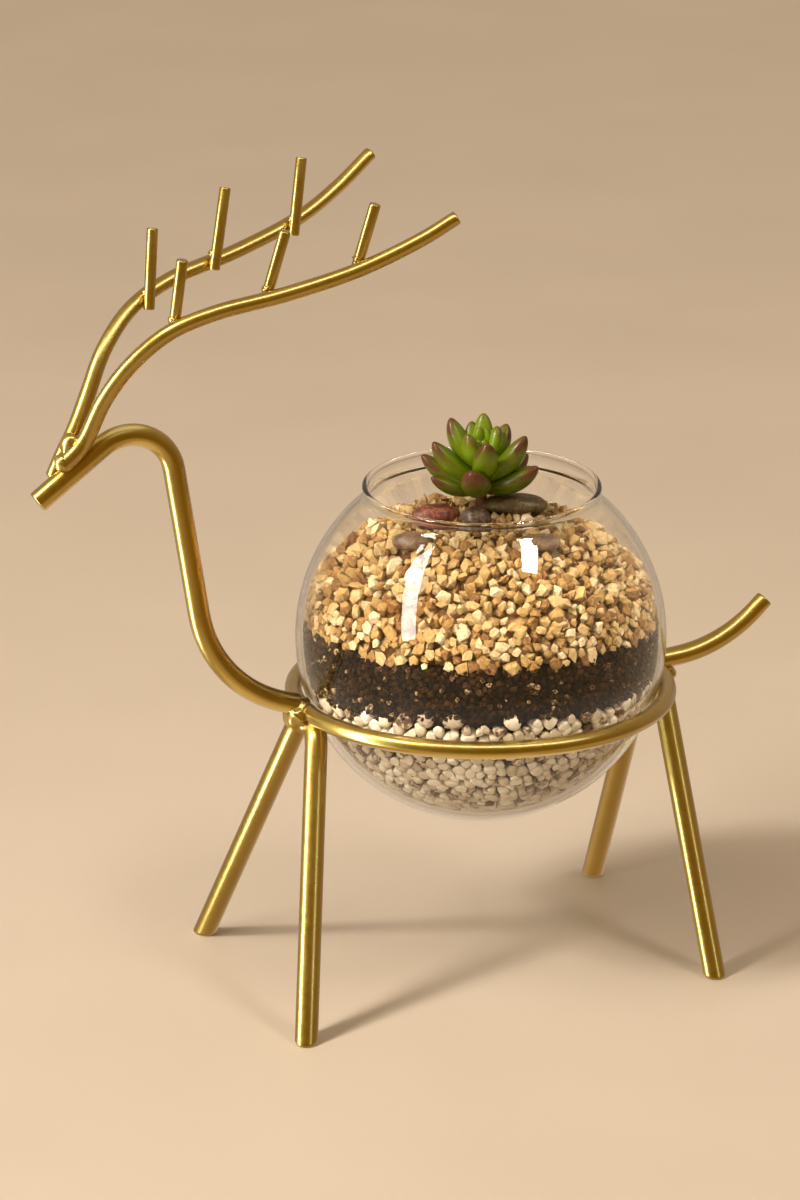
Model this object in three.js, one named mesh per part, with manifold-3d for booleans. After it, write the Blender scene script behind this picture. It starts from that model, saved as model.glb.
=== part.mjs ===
// A small glass plant terrarium: a round glass bowl of pumice, soil and gravel with one succulent,
// held by a welded stand of bent gold bar in the shape of a deer.
// Millimetres, +Z up, the head points to -X. The bowl's axis is x = 0, y = 0 while the pieces are made.
import * as THREE from 'three';
import { mergeVertices } from 'three/addons/utils/BufferGeometryUtils.js';
import Module from 'manifold-3d';

// Driving dimensions
const GAP = 0.3;                // left between two pieces that touch
const NECK_RADIUS = 2.9;
const LEG_RADIUS = 3.05;
const TAIL_ROOT_RADIUS = 2.75;
const TAIL_TIP_RADIUS = 2.45;
const BAR_EASE = 0.7;           // rounding of a cut bar end
const RING_RADIUS = 50.6;       // centreline of the holder ring
const RING_BAR_RADIUS = 2.35;
const RING_HEIGHT = 77.4;
const LEG_TOP = 86.3;           // where the two straight legs of a pair would meet
const LEG_BEND = 8.8;           // bend radius at the top of a pair of legs
const FRONT_FOOT = { x: -66.2, y: 40.7 };
const FRONT_TOP_X = -46.8;
const REAR_FOOT = { x: 52.7, y: 40.3 };
const REAR_TOP_X = 51.0;
const ANTLER_ROOT_RADIUS = 2.3;
const ANTLER_TIP_RADIUS = 1.83;
const TINE_RADIUS = 1.48;
const BOWL_RADIUS = 50;
const BOWL_HEIGHT = 92.1;       // centre of the bowl's ball above the table
const WALL = 2;
const LIP_RADIUS = 31.9;
const LIP_HEIGHT = 3.8;
const BOWL_LEAN = 3;            // degrees that the round bowl leans to the front in its ring
const FILL_RADIUS = BOWL_RADIUS - WALL - 2 * GAP;
const PUMICE_TOP = 85.9;
const SOIL_TOP = 97.5;
const MOUND_TOP = 127;
const MOUND_EDGE = 104.8;       // where the heap meets the glass
const FRONT_TURN = 21.8;        // the front is this many degrees from -Y towards the head

const gold = new THREE.MeshStandardMaterial({ color: '#b8892f', roughness: 0.32, metalness: 1 });
const goldWeld = new THREE.MeshStandardMaterial({ color: '#c79a3e', roughness: 0.25, metalness: 1 });
const glass = new THREE.MeshStandardMaterial({ color: '#f4f6f2', roughness: 0.03, metalness: 0 });
const pumiceWhite = new THREE.MeshStandardMaterial({ color: '#cfc8bb', roughness: 0.9, metalness: 0 });
const soilBrown = new THREE.MeshStandardMaterial({ color: '#3a2b22', roughness: 0.95, metalness: 0 });
const gravelTan = new THREE.MeshStandardMaterial({ color: '#cfae78', roughness: 0.85, metalness: 0 });
const leafGreen = new THREE.MeshStandardMaterial({ color: '#5f8f22', roughness: 0.4, metalness: 0 });

const wasm = await Module();
wasm.setup();

const object = new THREE.Group();

function place(name, geometry, material) {
  const mesh = new THREE.Mesh(geometry, material);
  mesh.name = name;
  object.add(mesh);
}

function point(x, y, z) {
  return new THREE.Vector3(x, y, z);
}

// A small repeatable random source, 0 to 1.
function seeded(seed) {
  let state = seed;
  return () => {
    state = (state * 1664525 + 1013904223) % 4294967296;
    return state / 4294967296;
  };
}

// Joins a geometry's shared corners and drops the flat triangles at its poles.
function closed(geometry) {
  geometry.deleteAttribute('normal');
  geometry.deleteAttribute('uv');
  const merged = mergeVertices(geometry, 1e-4);
  const kept = [];
  for (let i = 0; i < merged.index.count; i += 3) {
    const corners = [merged.index.getX(i), merged.index.getX(i + 1), merged.index.getX(i + 2)];
    if (new Set(corners).size === 3) {
      kept.push(...corners);
    }
  }
  merged.setIndex(kept);
  return merged;
}

function solid(geometry) {
  const body = closed(geometry);
  const triVerts = new Uint32Array(body.index.array);
  const vertProperties = new Float32Array(body.attributes.position.array);
  return new wasm.Manifold(new wasm.Mesh({ numProp: 3, vertProperties, triVerts }));
}

// The geometry of a solid, or of its largest piece where a cut has left crumbs.
function shape(body) {
  const pieces = body.decompose().sort((a, b) => b.volume() - a.volume());
  const mesh = pieces[0].getMesh();
  const geometry = new THREE.BufferGeometry();
  geometry.setAttribute('position', new THREE.BufferAttribute(mesh.vertProperties, 3));
  geometry.setIndex(new THREE.BufferAttribute(mesh.triVerts, 1));
  return geometry;
}

// ---------------------------------------------------------------- bent bar

// Stations along a bar that runs straight between its corners and is bent round each of them.
function bentRun(corners, radii, steps) {
  const run = [];
  const first = corners[1].clone().sub(corners[0]).normalize();
  run.push({ at: corners[0].clone(), along: first });
  for (let i = 1; i < corners.length - 1; i += 1) {
    const incoming = corners[i].clone().sub(corners[i - 1]).normalize();
    const outgoing = corners[i + 1].clone().sub(corners[i]).normalize();
    const turn = incoming.angleTo(outgoing);
    const axis = incoming.clone().cross(outgoing).normalize();
    const radius = radii[i - 1];
    const start = corners[i].clone().addScaledVector(incoming, -radius * Math.tan(turn / 2));
    const centre = start.clone().addScaledVector(axis.clone().cross(incoming), radius);
    for (let k = 0; k <= steps; k += 1) {
      const angle = (turn * k) / steps;
      const at = start.clone().sub(centre).applyAxisAngle(axis, angle).add(centre);
      run.push({ at, along: incoming.clone().applyAxisAngle(axis, angle) });
    }
  }
  const last = corners.at(-1).clone().sub(corners.at(-2)).normalize();
  run.push({ at: corners.at(-1).clone(), along: last });
  return run;
}

// Stations along a smooth free curve through a few points.
function curvedRun(points, steps) {
  const curve = new THREE.CatmullRomCurve3(points, false, 'centripetal');
  const run = [];
  for (let k = 0; k <= steps; k += 1) {
    run.push({ at: curve.getPointAt(k / steps), along: curve.getTangentAt(k / steps) });
  }
  return run;
}

// A round bar along a run: a straight cylinder whose rows of points are set round the stations.
// The radius changes evenly from the first end to the last, and both ends are eased. A footed bar
// has its ends cut level, to stand flat.
function bar(run, firstRadius, lastRadius, { sides = 10, across = point(0, 1, 0), footed = false } = {}) {
  const rows = [...run];
  const begin = rows[0];
  const end = rows.at(-1);
  rows.splice(1, 0, { at: begin.at.clone().addScaledVector(begin.along, BAR_EASE), along: begin.along });
  rows.splice(-1, 0, { at: end.at.clone().addScaledVector(end.along, -BAR_EASE), along: end.along });
  const lengths = [0];
  for (let i = 1; i < rows.length; i += 1) {
    lengths.push(lengths[i - 1] + rows[i].at.distanceTo(rows[i - 1].at));
  }
  const count = rows.length - 1;
  const geometry = new THREE.CylinderGeometry(1, 1, count, sides, count);
  const points = geometry.attributes.position;
  for (let i = 0; i < points.count; i += 1) {
    const row = Math.round(points.getY(i) + count / 2);
    const { at, along } = rows[row];
    const side = across.clone().addScaledVector(along, -across.dot(along)).normalize();
    const other = side.clone().cross(along);
    const eased = row === 0 || row === count ? BAR_EASE : 0;
    const radius = firstRadius + ((lastRadius - firstRadius) * lengths[row]) / lengths[count] - eased;
    const corner = at.clone().addScaledVector(side, points.getX(i) * radius);
    corner.addScaledVector(other, points.getZ(i) * radius);
    if (footed && (row < 2 || row > count - 2)) {
      corner.addScaledVector(along, (at.z - corner.z) / along.z);
    }
    points.setXYZ(i, corner.x, corner.y, corner.z);
  }
  return geometry;
}

// ---------------------------------------------------------------- runs of the stand's bars

const neckRun = bentRun(
  [point(-123.1, 0, 142.9), point(-89.3, 0, 167.9), point(-76.8, 0, 86.5), point(-52.9, 0, 79.3)],
  [12.2, 34.1],
  8,
);
const tailRun = bentRun([point(53.2, 0, 78.2), point(73.1, 0, 80.3), point(85.4, 0, 92.2)], [40], 5);

function legRun(foot, topX) {
  const corners = [point(foot.x, -foot.y, 0), point(topX, 0, LEG_TOP), point(foot.x, foot.y, 0)];
  return bentRun(corners, [LEG_BEND], 8);
}

// The two antlers are a hand-bent pair, nearly each other's mirror image.
const antlerPoints = {
  left: [
    point(-117.3, -2.5, 152.6),
    point(-113.7, -2.9, 155.6),
    point(-111.1, -3.3, 158.8),
    point(-106.7, -6.3, 169.7),
    point(-100.4, -10.5, 179.8),
    point(-91.7, -15.1, 188.2),
    point(-80.9, -18.7, 193.0),
    point(-63.3, -22.7, 197.2),
    point(-45.1, -26.9, 202.9),
    point(-29.9, -31.2, 210.3),
    point(-21.2, -33.2, 215.6),
  ],
  right: [
    point(-118.2, 2.1, 147.8),
    point(-115.2, 2.5, 154.0),
    point(-111.7, 3.2, 160.1),
    point(-107.1, 6.0, 168.5),
    point(-101.4, 9.8, 178.6),
    point(-92.4, 14.8, 187.4),
    point(-80.3, 18.8, 193.2),
    point(-60.1, 23.4, 198.1),
    point(-40.6, 28.2, 204.5),
    point(-28.3, 31.6, 211.3),
    point(-18.2, 34.0, 218.9),
  ],
};

// Each tine is a short straight bar, from its foot on the inner side of its antler to its tip.
const tinePoints = {
  left: [
    [point(-90.0, -12.2, 186.6), point(-87.9, -14.5, 206.4)],
    [point(-67.6, -18.2, 194.0), point(-62.7, -20.8, 213.0)],
    [point(-45.2, -23.5, 200.9), point(-40.6, -26.2, 219.2)],
  ],
  right: [
    [point(-88.1, 12.4, 187.4), point(-85.8, 15.2, 208.1)],
    [point(-68.4, 17.5, 195.0), point(-64.0, 20.5, 215.9)],
    [point(-44.3, 23.1, 200.9), point(-40.8, 26.1, 220.9)],
  ],
};

function ringBar(radius) {
  return new THREE.TorusGeometry(RING_RADIUS, radius, 10, 48).translate(0, 0, RING_HEIGHT);
}

function neckBar(extra) {
  return bar(neckRun, NECK_RADIUS + extra, NECK_RADIUS + extra);
}

function tailBar(extra) {
  return bar(tailRun, TAIL_ROOT_RADIUS + extra, TAIL_TIP_RADIUS + extra);
}

function legBar(foot, topX, extra) {
  const radius = LEG_RADIUS + extra;
  return bar(legRun(foot, topX), radius, radius, { across: point(1, 0, 0), footed: true });
}

function antlerBar(hand, extra) {
  const run = curvedRun(antlerPoints[hand], 20);
  return bar(run, ANTLER_ROOT_RADIUS + extra, ANTLER_TIP_RADIUS + extra, { sides: 8 });
}

// A bead of weld: a lump of a given half size at a place, in three directions.
function bead(at, halfX, halfY, halfZ) {
  return new THREE.IcosahedronGeometry(1, 0).scale(halfX, halfY, halfZ).translate(at.x, at.y, at.z);
}

// ---------------------------------------------------------------- the stand

// Bars are notched, with the gap, where one runs over another, as a welder fits them.
const fatRing = solid(ringBar(RING_BAR_RADIUS + GAP));
const fatNeck = solid(neckBar(GAP));
const fatTail = solid(tailBar(GAP));
const fatBall = solid(new THREE.SphereGeometry(BOWL_RADIUS + GAP, 36, 24).translate(0, 0, BOWL_HEIGHT));

place('holder_ring', ringBar(RING_BAR_RADIUS), gold);
place('neck_rod', shape(solid(neckBar(0)).subtract(fatRing)), gold);
place('tail_rod', shape(solid(tailBar(0)).subtract(fatRing)), gold);

function without(body, ...others) {
  return others.reduce((left, other) => left.subtract(other), body);
}

const frontLegs = solid(legBar(FRONT_FOOT, FRONT_TOP_X, 0));
place('front_legs', shape(without(frontLegs, fatRing, fatNeck, fatBall)), gold);
const rearLegs = solid(legBar(REAR_FOOT, REAR_TOP_X, 0));
place('rear_legs', shape(without(rearLegs, fatRing, fatTail, fatBall)), gold);

const frontBead = solid(bead(point(-52.2, 0, 76.4), 4.6, 5.2, 4.9));
const fatFrontLegs = solid(legBar(FRONT_FOOT, FRONT_TOP_X, GAP));
place('front_weld', shape(without(frontBead, fatRing, fatNeck, fatFrontLegs, fatBall)), goldWeld);
const rearBead = solid(bead(point(54.6, 0, 74.7), 3.4, 4.4, 3.4));
const fatRearLegs = solid(legBar(REAR_FOOT, REAR_TOP_X, GAP));
place('rear_weld', shape(without(rearBead, fatRing, fatTail, fatRearLegs, fatBall)), goldWeld);

const fatAntlers = { left: solid(antlerBar('left', GAP)), right: solid(antlerBar('right', GAP)) };
place('antler_right', shape(without(solid(antlerBar('right', 0)), fatNeck)), gold);
place('antler_left', shape(without(solid(antlerBar('left', 0)), fatNeck, fatAntlers.right)), gold);
const headBead = solid(bead(point(-113.4, -0.4, 157.6), 2.6, 3.0, 3.6));
place('head_weld', shape(without(headBead, fatNeck, fatAntlers.left, fatAntlers.right)), goldWeld);

for (const hand of ['left', 'right']) {
  const inward = hand === 'left' ? 1 : -1;
  tinePoints[hand].forEach(([foot, tip], i) => {
    const tine = solid(bar(bentRun([foot, tip], [], 0), TINE_RADIUS, TINE_RADIUS, { sides: 8 }));
    const rise = tip.clone().sub(foot).setLength(4.6);
    const beadAt = foot.clone().add(rise).add(point(-0.8, -0.5 * inward, 0));
    const joined = tine.add(solid(bead(beadAt, 1.9, 1.9, 1.5)));
    place(`tine_${hand}_${i + 1}`, shape(without(joined, fatAntlers[hand])), gold);
  });
}

// ---------------------------------------------------------------- the glass bowl

// Half the outline of the bowl: up the outside, round the lip and down the inside.
function bowlOutline() {
  const outline = [];
  const inner = BOWL_RADIUS - WALL;
  const outerMouth = Math.acos((LIP_RADIUS - 1.1) / BOWL_RADIUS);
  const innerMouth = Math.acos((LIP_RADIUS - WALL) / inner);
  const steps = 12;
  for (let k = 0; k <= steps; k += 1) {
    const angle = -Math.PI / 2 + ((outerMouth + Math.PI / 2) * k) / steps;
    const x = k === 0 ? 0 : BOWL_RADIUS * Math.cos(angle);
    outline.push(new THREE.Vector2(x, BOWL_HEIGHT + BOWL_RADIUS * Math.sin(angle)));
  }
  const top = outline.at(-1).y + LIP_HEIGHT;
  const middle = LIP_RADIUS - WALL / 2;
  outline.push(new THREE.Vector2(LIP_RADIUS, top - 2.4));
  for (let k = 0; k <= 4; k += 1) {
    const angle = (Math.PI * k) / 4;
    const x = middle + (WALL / 2) * Math.cos(angle);
    outline.push(new THREE.Vector2(x, top - 1 + Math.sin(angle)));
  }
  for (let k = steps; k >= 0; k -= 1) {
    const angle = -Math.PI / 2 + ((innerMouth + Math.PI / 2) * k) / steps;
    const x = k === 0 ? 0 : inner * Math.cos(angle);
    outline.push(new THREE.Vector2(x, BOWL_HEIGHT + inner * Math.sin(angle)));
  }
  return outline;
}

// A turned shape stands along +Y and is stood up on +Z.
function turned(outline, segments) {
  return new THREE.LatheGeometry(outline, segments).rotateX(Math.PI / 2);
}

// The ball is free to turn in the ring, so it leans about its own centre.
function leaning(geometry) {
  const across = point(1, 0, 0).applyAxisAngle(point(0, 0, 1), -THREE.MathUtils.degToRad(FRONT_TURN));
  const lean = new THREE.Quaternion().setFromAxisAngle(across, THREE.MathUtils.degToRad(BOWL_LEAN));
  return geometry.translate(0, 0, -BOWL_HEIGHT).applyQuaternion(lean).translate(0, 0, BOWL_HEIGHT);
}

place('glass_bowl', leaning(closed(turned(bowlOutline(), 36))), glass);

// ---------------------------------------------------------------- the filling

function ballRadiusAt(height) {
  return Math.sqrt(FILL_RADIUS ** 2 - (height - BOWL_HEIGHT) ** 2);
}

// Height of the heaped gravel at a distance from the axis.
function moundHeight(radius) {
  return MOUND_TOP - (MOUND_TOP - MOUND_EDGE) * (radius / ballRadiusAt(MOUND_EDGE)) ** 3;
}

// For each corner of a closed mesh, the faces that meet there, in order round it.
function facesRound(index, cornerCount) {
  const next = Array.from({ length: cornerCount }, () => new Map());
  for (let i = 0; i < index.count; i += 3) {
    const face = [index.getX(i), index.getX(i + 1), index.getX(i + 2)];
    for (let k = 0; k < 3; k += 1) {
      next[face[k]].set(face[(k + 1) % 3], { face: i / 3, then: face[(k + 2) % 3] });
    }
  }
  return next.map((around) => {
    const faces = [];
    const [first] = around.keys();
    let key = first;
    do {
      const { face, then } = around.get(key);
      faces.push(face);
      key = then;
    } while (key !== first);
    return faces;
  });
}

// A bed of chunky grains as one body. Every corner of a geodesic ball is a grain: its foot runs
// through the middles of the faces round it, sunk by a depth, and its top is a tilted triangle.
// The surface function carries a direction of the ball to a place and its outward normal.
function grainBed(detail, surface, depth, random) {
  const ball = closed(new THREE.IcosahedronGeometry(1, detail));
  const { index, attributes: { position } } = ball;
  const corner = (i) => new THREE.Vector3().fromBufferAttribute(position, i);
  const points = [];
  const middles = [];
  for (let i = 0; i < index.count; i += 3) {
    const middle = corner(index.getX(i)).add(corner(index.getX(i + 1))).add(corner(index.getX(i + 2)));
    middles.push(middle.normalize());
    const { at, normal } = surface(middles.at(-1));
    points.push(at.addScaledVector(normal, -depth * (0.75 + 0.25 * random())));
  }
  const triangles = [];
  facesRound(index, position.count).forEach((faces, centre) => {
    const tops = faces.map((face, k) => {
      if (k % 2 === 1) {
        return -1;
      }
      const towards = corner(centre).lerp(middles[face], 0.42 + 0.24 * random()).normalize();
      const { at, normal } = surface(towards);
      points.push(at.addScaledVector(normal, -0.3 * depth * random()));
      return points.length - 1;
    });
    for (let k = 0; k < faces.length; k += 1) {
      const after = (k + 1) % faces.length;
      const here = tops[k] < 0 ? tops[after] : tops[k];
      triangles.push(faces[k], faces[after], here);
      const later = (k + 2) % faces.length;
      if (tops[k] >= 0 && tops[after] < 0) {
        triangles.push(tops[k], faces[after], tops[later]);
      } else if (tops[k] >= 0) {
        triangles.push(tops[k], faces[after], tops[after]);
      }
    }
    triangles.push(...tops.filter((top) => top >= 0));
  });
  const geometry = new THREE.BufferGeometry().setFromPoints(points);
  geometry.setIndex(triangles);
  return geometry;
}

// The shares of the ball's height that are spent on a layer's hidden flat face, and on that face
// and the gravel's side together.
const FLAT_SHARE = 0.05;
const SIDE_SHARE = 0.25;

function around(direction, radius, height) {
  const angle = Math.atan2(direction.y, direction.x);
  return point(radius * Math.cos(angle), radius * Math.sin(angle), height);
}

function fromBowlCentre(at) {
  return at.clone().sub(point(0, 0, BOWL_HEIGHT)).normalize();
}

// White pumice: grains over the whole round underside, under a flat top.
function pumiceSurface(direction) {
  const up = (direction.z + 1) / 2;
  if (up > 1 - FLAT_SHARE) {
    const radius = ballRadiusAt(PUMICE_TOP) * Math.sqrt((1 - up) / FLAT_SHARE);
    return { at: around(direction, radius, PUMICE_TOP), normal: point(0, 0, 0) };
  }
  const bottom = BOWL_HEIGHT - FILL_RADIUS;
  const height = bottom + ((PUMICE_TOP - bottom) * up) / (1 - FLAT_SHARE);
  const at = around(direction, ballRadiusAt(height), height);
  return { at, normal: fromBowlCentre(at) };
}

// Gravel: grains over the side that shows through the glass and over the whole mound.
function gravelSurface(direction) {
  const up = (direction.z + 1) / 2;
  const bottom = SOIL_TOP + GAP;
  if (up < FLAT_SHARE) {
    const radius = ballRadiusAt(bottom) * Math.sqrt(up / FLAT_SHARE);
    return { at: around(direction, radius, bottom), normal: point(0, 0, 0) };
  }
  if (up < SIDE_SHARE) {
    const height = bottom + ((MOUND_EDGE - bottom) * (up - FLAT_SHARE)) / (SIDE_SHARE - FLAT_SHARE);
    const at = around(direction, ballRadiusAt(height), height);
    return { at, normal: fromBowlCentre(at).setZ(0) };
  }
  const radius = ballRadiusAt(MOUND_EDGE) * Math.sqrt((1 - up) / (1 - SIDE_SHARE));
  return { at: around(direction, radius, moundHeight(radius)), normal: point(0, 0, 1) };
}

function pumiceLayer() {
  return grainBed(4, pumiceSurface, 2.6, seeded(11));
}

function gravelLayer(cuts) {
  const bed = solid(grainBed(5, gravelSurface, 2.4, seeded(23)));
  return shape(without(bed, ...cuts));
}

// Soil: a turned band whose side is roughened by a seeded amount.
function soilLayer() {
  const random = seeded(5);
  const bottom = PUMICE_TOP + GAP;
  const outline = [new THREE.Vector2(0, bottom)];
  const rows = 5;
  for (let k = 0; k <= rows; k += 1) {
    const height = bottom + ((SOIL_TOP - bottom) * k) / rows;
    outline.push(new THREE.Vector2(ballRadiusAt(height), height));
  }
  outline.push(new THREE.Vector2(0, SOIL_TOP));
  const geometry = closed(turned(outline, 52));
  const points = geometry.attributes.position;
  for (let i = 0; i < points.count; i += 1) {
    const inward = 1 - (0.9 * random()) / FILL_RADIUS;
    points.setXYZ(i, points.getX(i) * inward, points.getY(i) * inward, points.getZ(i));
  }
  return geometry;
}

// ---------------------------------------------------------------- pebbles

// Each pebble: its place, half length, half width and half thickness, and how far it is turned.
const pebbles = {
  pebble_red: { at: [-14.1, -2.3, 128.2], half: [6.3, 4.2, 2.9], turn: -22, color: '#6b3a31' },
  pebble_grey: { at: [-5.9, -9.5, 128.3], half: [4.3, 3.7, 2.9], turn: -22, color: '#55504c' },
  pebble_olive: { at: [7.9, -3.8, 129.0], half: [8.9, 5.0, 2.9], turn: -24, color: '#5b5038' },
  pebble_brown_left: { at: [-24.4, -11.2, 124.3], half: [5.5, 3.8, 2.3], turn: -30, color: '#8a6a50' },
  pebble_brown_right: { at: [5.9, -24.6, 124.2], half: [5.7, 3.9, 2.4], turn: -15, color: '#7b6244' },
  pebble_white: { at: [7.7, -12.5, 127.2], half: [1.7, 1.5, 1.3], turn: 10, color: '#e2d3c2' },
};

function pebble({ at, half, turn }, extra) {
  const ball = new THREE.SphereGeometry(1, 10, 6).rotateX(Math.PI / 2);
  ball.scale(half[0] + extra, half[1] + extra, half[2] + extra);
  ball.rotateZ(THREE.MathUtils.degToRad(turn));
  return ball.translate(...at);
}

// ---------------------------------------------------------------- the succulent

// Leaves, lowest first: turn round the stem, rise above level, length, foot height, plumpness.
const leaves = [
  [-105, 31, 13.6, 3.0, 1.2],
  [-13, 23, 16.7, 3.0, 1.05],
  [196, 17, 14.8, 2.5, 0.78],
  [68, 26, 15.0, 2.6, 0.95],
  [112, 24, 15.5, 2.4, 0.95],
  [178, 27, 18.1, 3.6, 0.97],
  [25, 27, 15.4, 3.6, 0.98],
  [148, 32, 15.5, 4.2, 0.95],
  [-12, 46, 17.2, 5.4, 1.07],
  [186, 40, 17.2, 4.8, 1.03],
  [78, 44, 14.5, 6.2, 0.95],
  [-82, 50, 14.6, 6.2, 1.02],
  [40, 50, 14.0, 8.2, 0.97],
  [155, 53, 15.6, 8.6, 1.02],
  [115, 60, 13.0, 8.4, 0.85],
  [-140, 63, 11.2, 8.6, 0.9],
  [20, 63, 10.2, 10.4, 0.86],
  [84, 67, 12.2, 11.0, 0.82],
  [-125, 68, 4.8, 12.2, 0.45],
  [-65, 72, 4.4, 12.4, 0.42],
  [60, 76, 6.4, 13.0, 0.6],
  [150, 84, 6.8, 13.0, 0.6],
];
const LEAF_HALF_WIDTH = 3.3;
const LEAF_HALF_THICKNESS = 2.85;
const LEAF_ROWS = [0, 0.26, 0.52, 0.72, 0.87, 0.96, 1];
const LEAF_WIDEST = 0.52;       // share of its length at which a leaf is widest
const LEAF_ROOT_WIDTH = 0.58;   // width at the stem as a share of the widest
const LEAF_BLUNTNESS = 0.53;    // under 1, and the lower the blunter the tip
const LEAF_SAG = 0.28;          // how far a leaf dips before its tip turns up, against its length
const ROSETTE_FOOT = 130.5;
const STEM_RADIUS = 1.5;
const STEM_FOOT = 119;

// Half width of a leaf at a share of its length: from a broad root to a blunt tip.
function leafWidth(s) {
  if (s < LEAF_WIDEST) {
    return LEAF_ROOT_WIDTH + (1 - LEAF_ROOT_WIDTH) * Math.sin((Math.PI / 2) * (s / LEAF_WIDEST));
  }
  return s === 1 ? 0 : Math.cos((Math.PI / 2) * ((s - LEAF_WIDEST) / (1 - LEAF_WIDEST))) ** LEAF_BLUNTNESS;
}

// One plump leaf, turned about its length, laid along +X and dipped, then raised and turned.
function leaf([turn, rise, length, foot, plump]) {
  const outline = LEAF_ROWS.map((s) => new THREE.Vector2(leafWidth(s), s * length));
  outline.unshift(new THREE.Vector2(0, 0));
  const geometry = new THREE.LatheGeometry(outline, 8);
  geometry.rotateZ(-Math.PI / 2);
  geometry.scale(1, LEAF_HALF_THICKNESS * plump, LEAF_HALF_WIDTH * plump);
  geometry.rotateX(Math.PI / 2);
  const points = geometry.attributes.position;
  for (let i = 0; i < points.count; i += 1) {
    const s = points.getX(i) / length;
    points.setZ(i, points.getZ(i) + LEAF_SAG * length * (s * s - s));
  }
  geometry.rotateY(-THREE.MathUtils.degToRad(rise));
  geometry.rotateZ(THREE.MathUtils.degToRad(turn - FRONT_TURN));
  return geometry.translate(0, 0, ROSETTE_FOOT + foot);
}

function stem(extra) {
  const top = ROSETTE_FOOT + 14;
  const radius = STEM_RADIUS + extra;
  const geometry = new THREE.CylinderGeometry(radius, radius, top - STEM_FOOT + 2 * extra, 8);
  return geometry.rotateX(Math.PI / 2).translate(0, 0, (top + STEM_FOOT) / 2);
}

const fatPebbles = Object.values(pebbles).map((one) => solid(pebble(one, GAP)));
const names = Object.keys(pebbles);
names.forEach((name, i) => {
  const color = pebbles[name].color;
  const material = new THREE.MeshStandardMaterial({ color, roughness: 0.55, metalness: 0 });
  const body = solid(pebble(pebbles[name], 0));
  place(name, shape(without(body, solid(stem(GAP)), ...fatPebbles.slice(0, i))), material);
});

const rosette = wasm.Manifold.union([solid(stem(0)), ...leaves.map((one) => solid(leaf(one)))]);
place('succulent', shape(without(rosette, ...fatPebbles)), leafGreen);
place('gravel_layer', gravelLayer([...fatPebbles, solid(stem(GAP))]), gravelTan);
place('soil_layer', soilLayer(), soilBrown);
place('pumice_layer', closed(pumiceLayer()), pumiceWhite);

// The whole piece is centred over the origin, with its soles on z = 0.
const extent = new THREE.Box3().setFromObject(object);
object.position.x = -(extent.min.x + extent.max.x) / 2;

export default object;
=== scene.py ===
import math
import random

import bmesh
import bpy
from mathutils import Matrix, Vector, kdtree, noise


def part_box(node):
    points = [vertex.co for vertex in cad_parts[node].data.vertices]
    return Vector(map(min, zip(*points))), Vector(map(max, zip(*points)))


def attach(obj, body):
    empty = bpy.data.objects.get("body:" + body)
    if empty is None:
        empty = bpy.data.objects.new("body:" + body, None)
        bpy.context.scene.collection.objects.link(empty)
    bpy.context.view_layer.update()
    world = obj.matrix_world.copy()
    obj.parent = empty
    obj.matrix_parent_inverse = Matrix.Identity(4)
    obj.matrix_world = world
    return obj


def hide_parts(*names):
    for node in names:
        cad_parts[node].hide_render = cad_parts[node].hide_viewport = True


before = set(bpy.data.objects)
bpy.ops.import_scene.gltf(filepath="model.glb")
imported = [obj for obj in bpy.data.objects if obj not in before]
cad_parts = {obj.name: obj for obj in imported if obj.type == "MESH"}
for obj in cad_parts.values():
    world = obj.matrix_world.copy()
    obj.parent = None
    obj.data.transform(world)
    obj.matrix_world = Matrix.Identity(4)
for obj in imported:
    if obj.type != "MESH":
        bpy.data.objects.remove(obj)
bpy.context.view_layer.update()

# ---------------------------------------------------------------- camera
# The deer is seen from its left side, from in front of its shoulder and a little above,
# with a long lens that takes in the whole stand.
CAMERA_PLACE = (-0.3895, -0.9605, 0.4404)
CAMERA_TURN = math.radians(21.84)
CAMERA_PITCH = math.radians(17.97)
SENSOR_WIDTH = 36
FOCAL_LENGTH = 122.42
camera_data = bpy.data.cameras.new("camera")
camera_data.sensor_width = SENSOR_WIDTH
camera_data.lens = FOCAL_LENGTH
camera = bpy.data.objects.new("camera", camera_data)
camera.location = CAMERA_PLACE
camera.rotation_euler = (math.pi / 2 - CAMERA_PITCH, 0, -CAMERA_TURN)
bpy.context.scene.collection.objects.link(camera)
bpy.context.scene.camera = camera

# ---------------------------------------------------------------- neck bar
# One length of round steel bar, bent twice: from the nose over the crook of the neck and down
# to the holder ring. All the bar of the stand is sprayed satin gold. Shapes are made in
# millimetres from the bowl's axis and the floor, and piece() puts them in place in metres.
MM = 0.001
ring_low, ring_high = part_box("holder_ring")
AXIS = Vector(((ring_low[0] + ring_high[0]) / 2, (ring_low[1] + ring_high[1]) / 2, 0))
NECK_CORNERS = [(-123.1, 0, 142.9), (-89.3, 0, 167.9), (-76.8, 0, 86.5), (-52.9, 0, 79.3)]
NECK_BENDS = [12.2, 34.1]
NECK_RADIUS = 2.9
BAR_SIDES = 32
END_EASE = 0.45


def bent(corners, bends, steps=16):
    """Points along a straight bar that is bent to a radius at each inner corner."""
    corners = [Vector(corner) for corner in corners]
    route = [corners[0]]
    for before, corner, after, bend in zip(corners, corners[1:], corners[2:], bends):
        into = (corner - before).normalized()
        turn = into.angle(after - corner)
        pivot = into.cross(after - corner).normalized()
        start = corner - into * bend * math.tan(turn / 2)
        centre = start + pivot.cross(into) * bend
        for k in range(steps + 1):
            route.append(centre + Matrix.Rotation(turn * k / steps, 3, pivot) @ (start - centre))
    return route + [corners[-1]]


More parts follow.
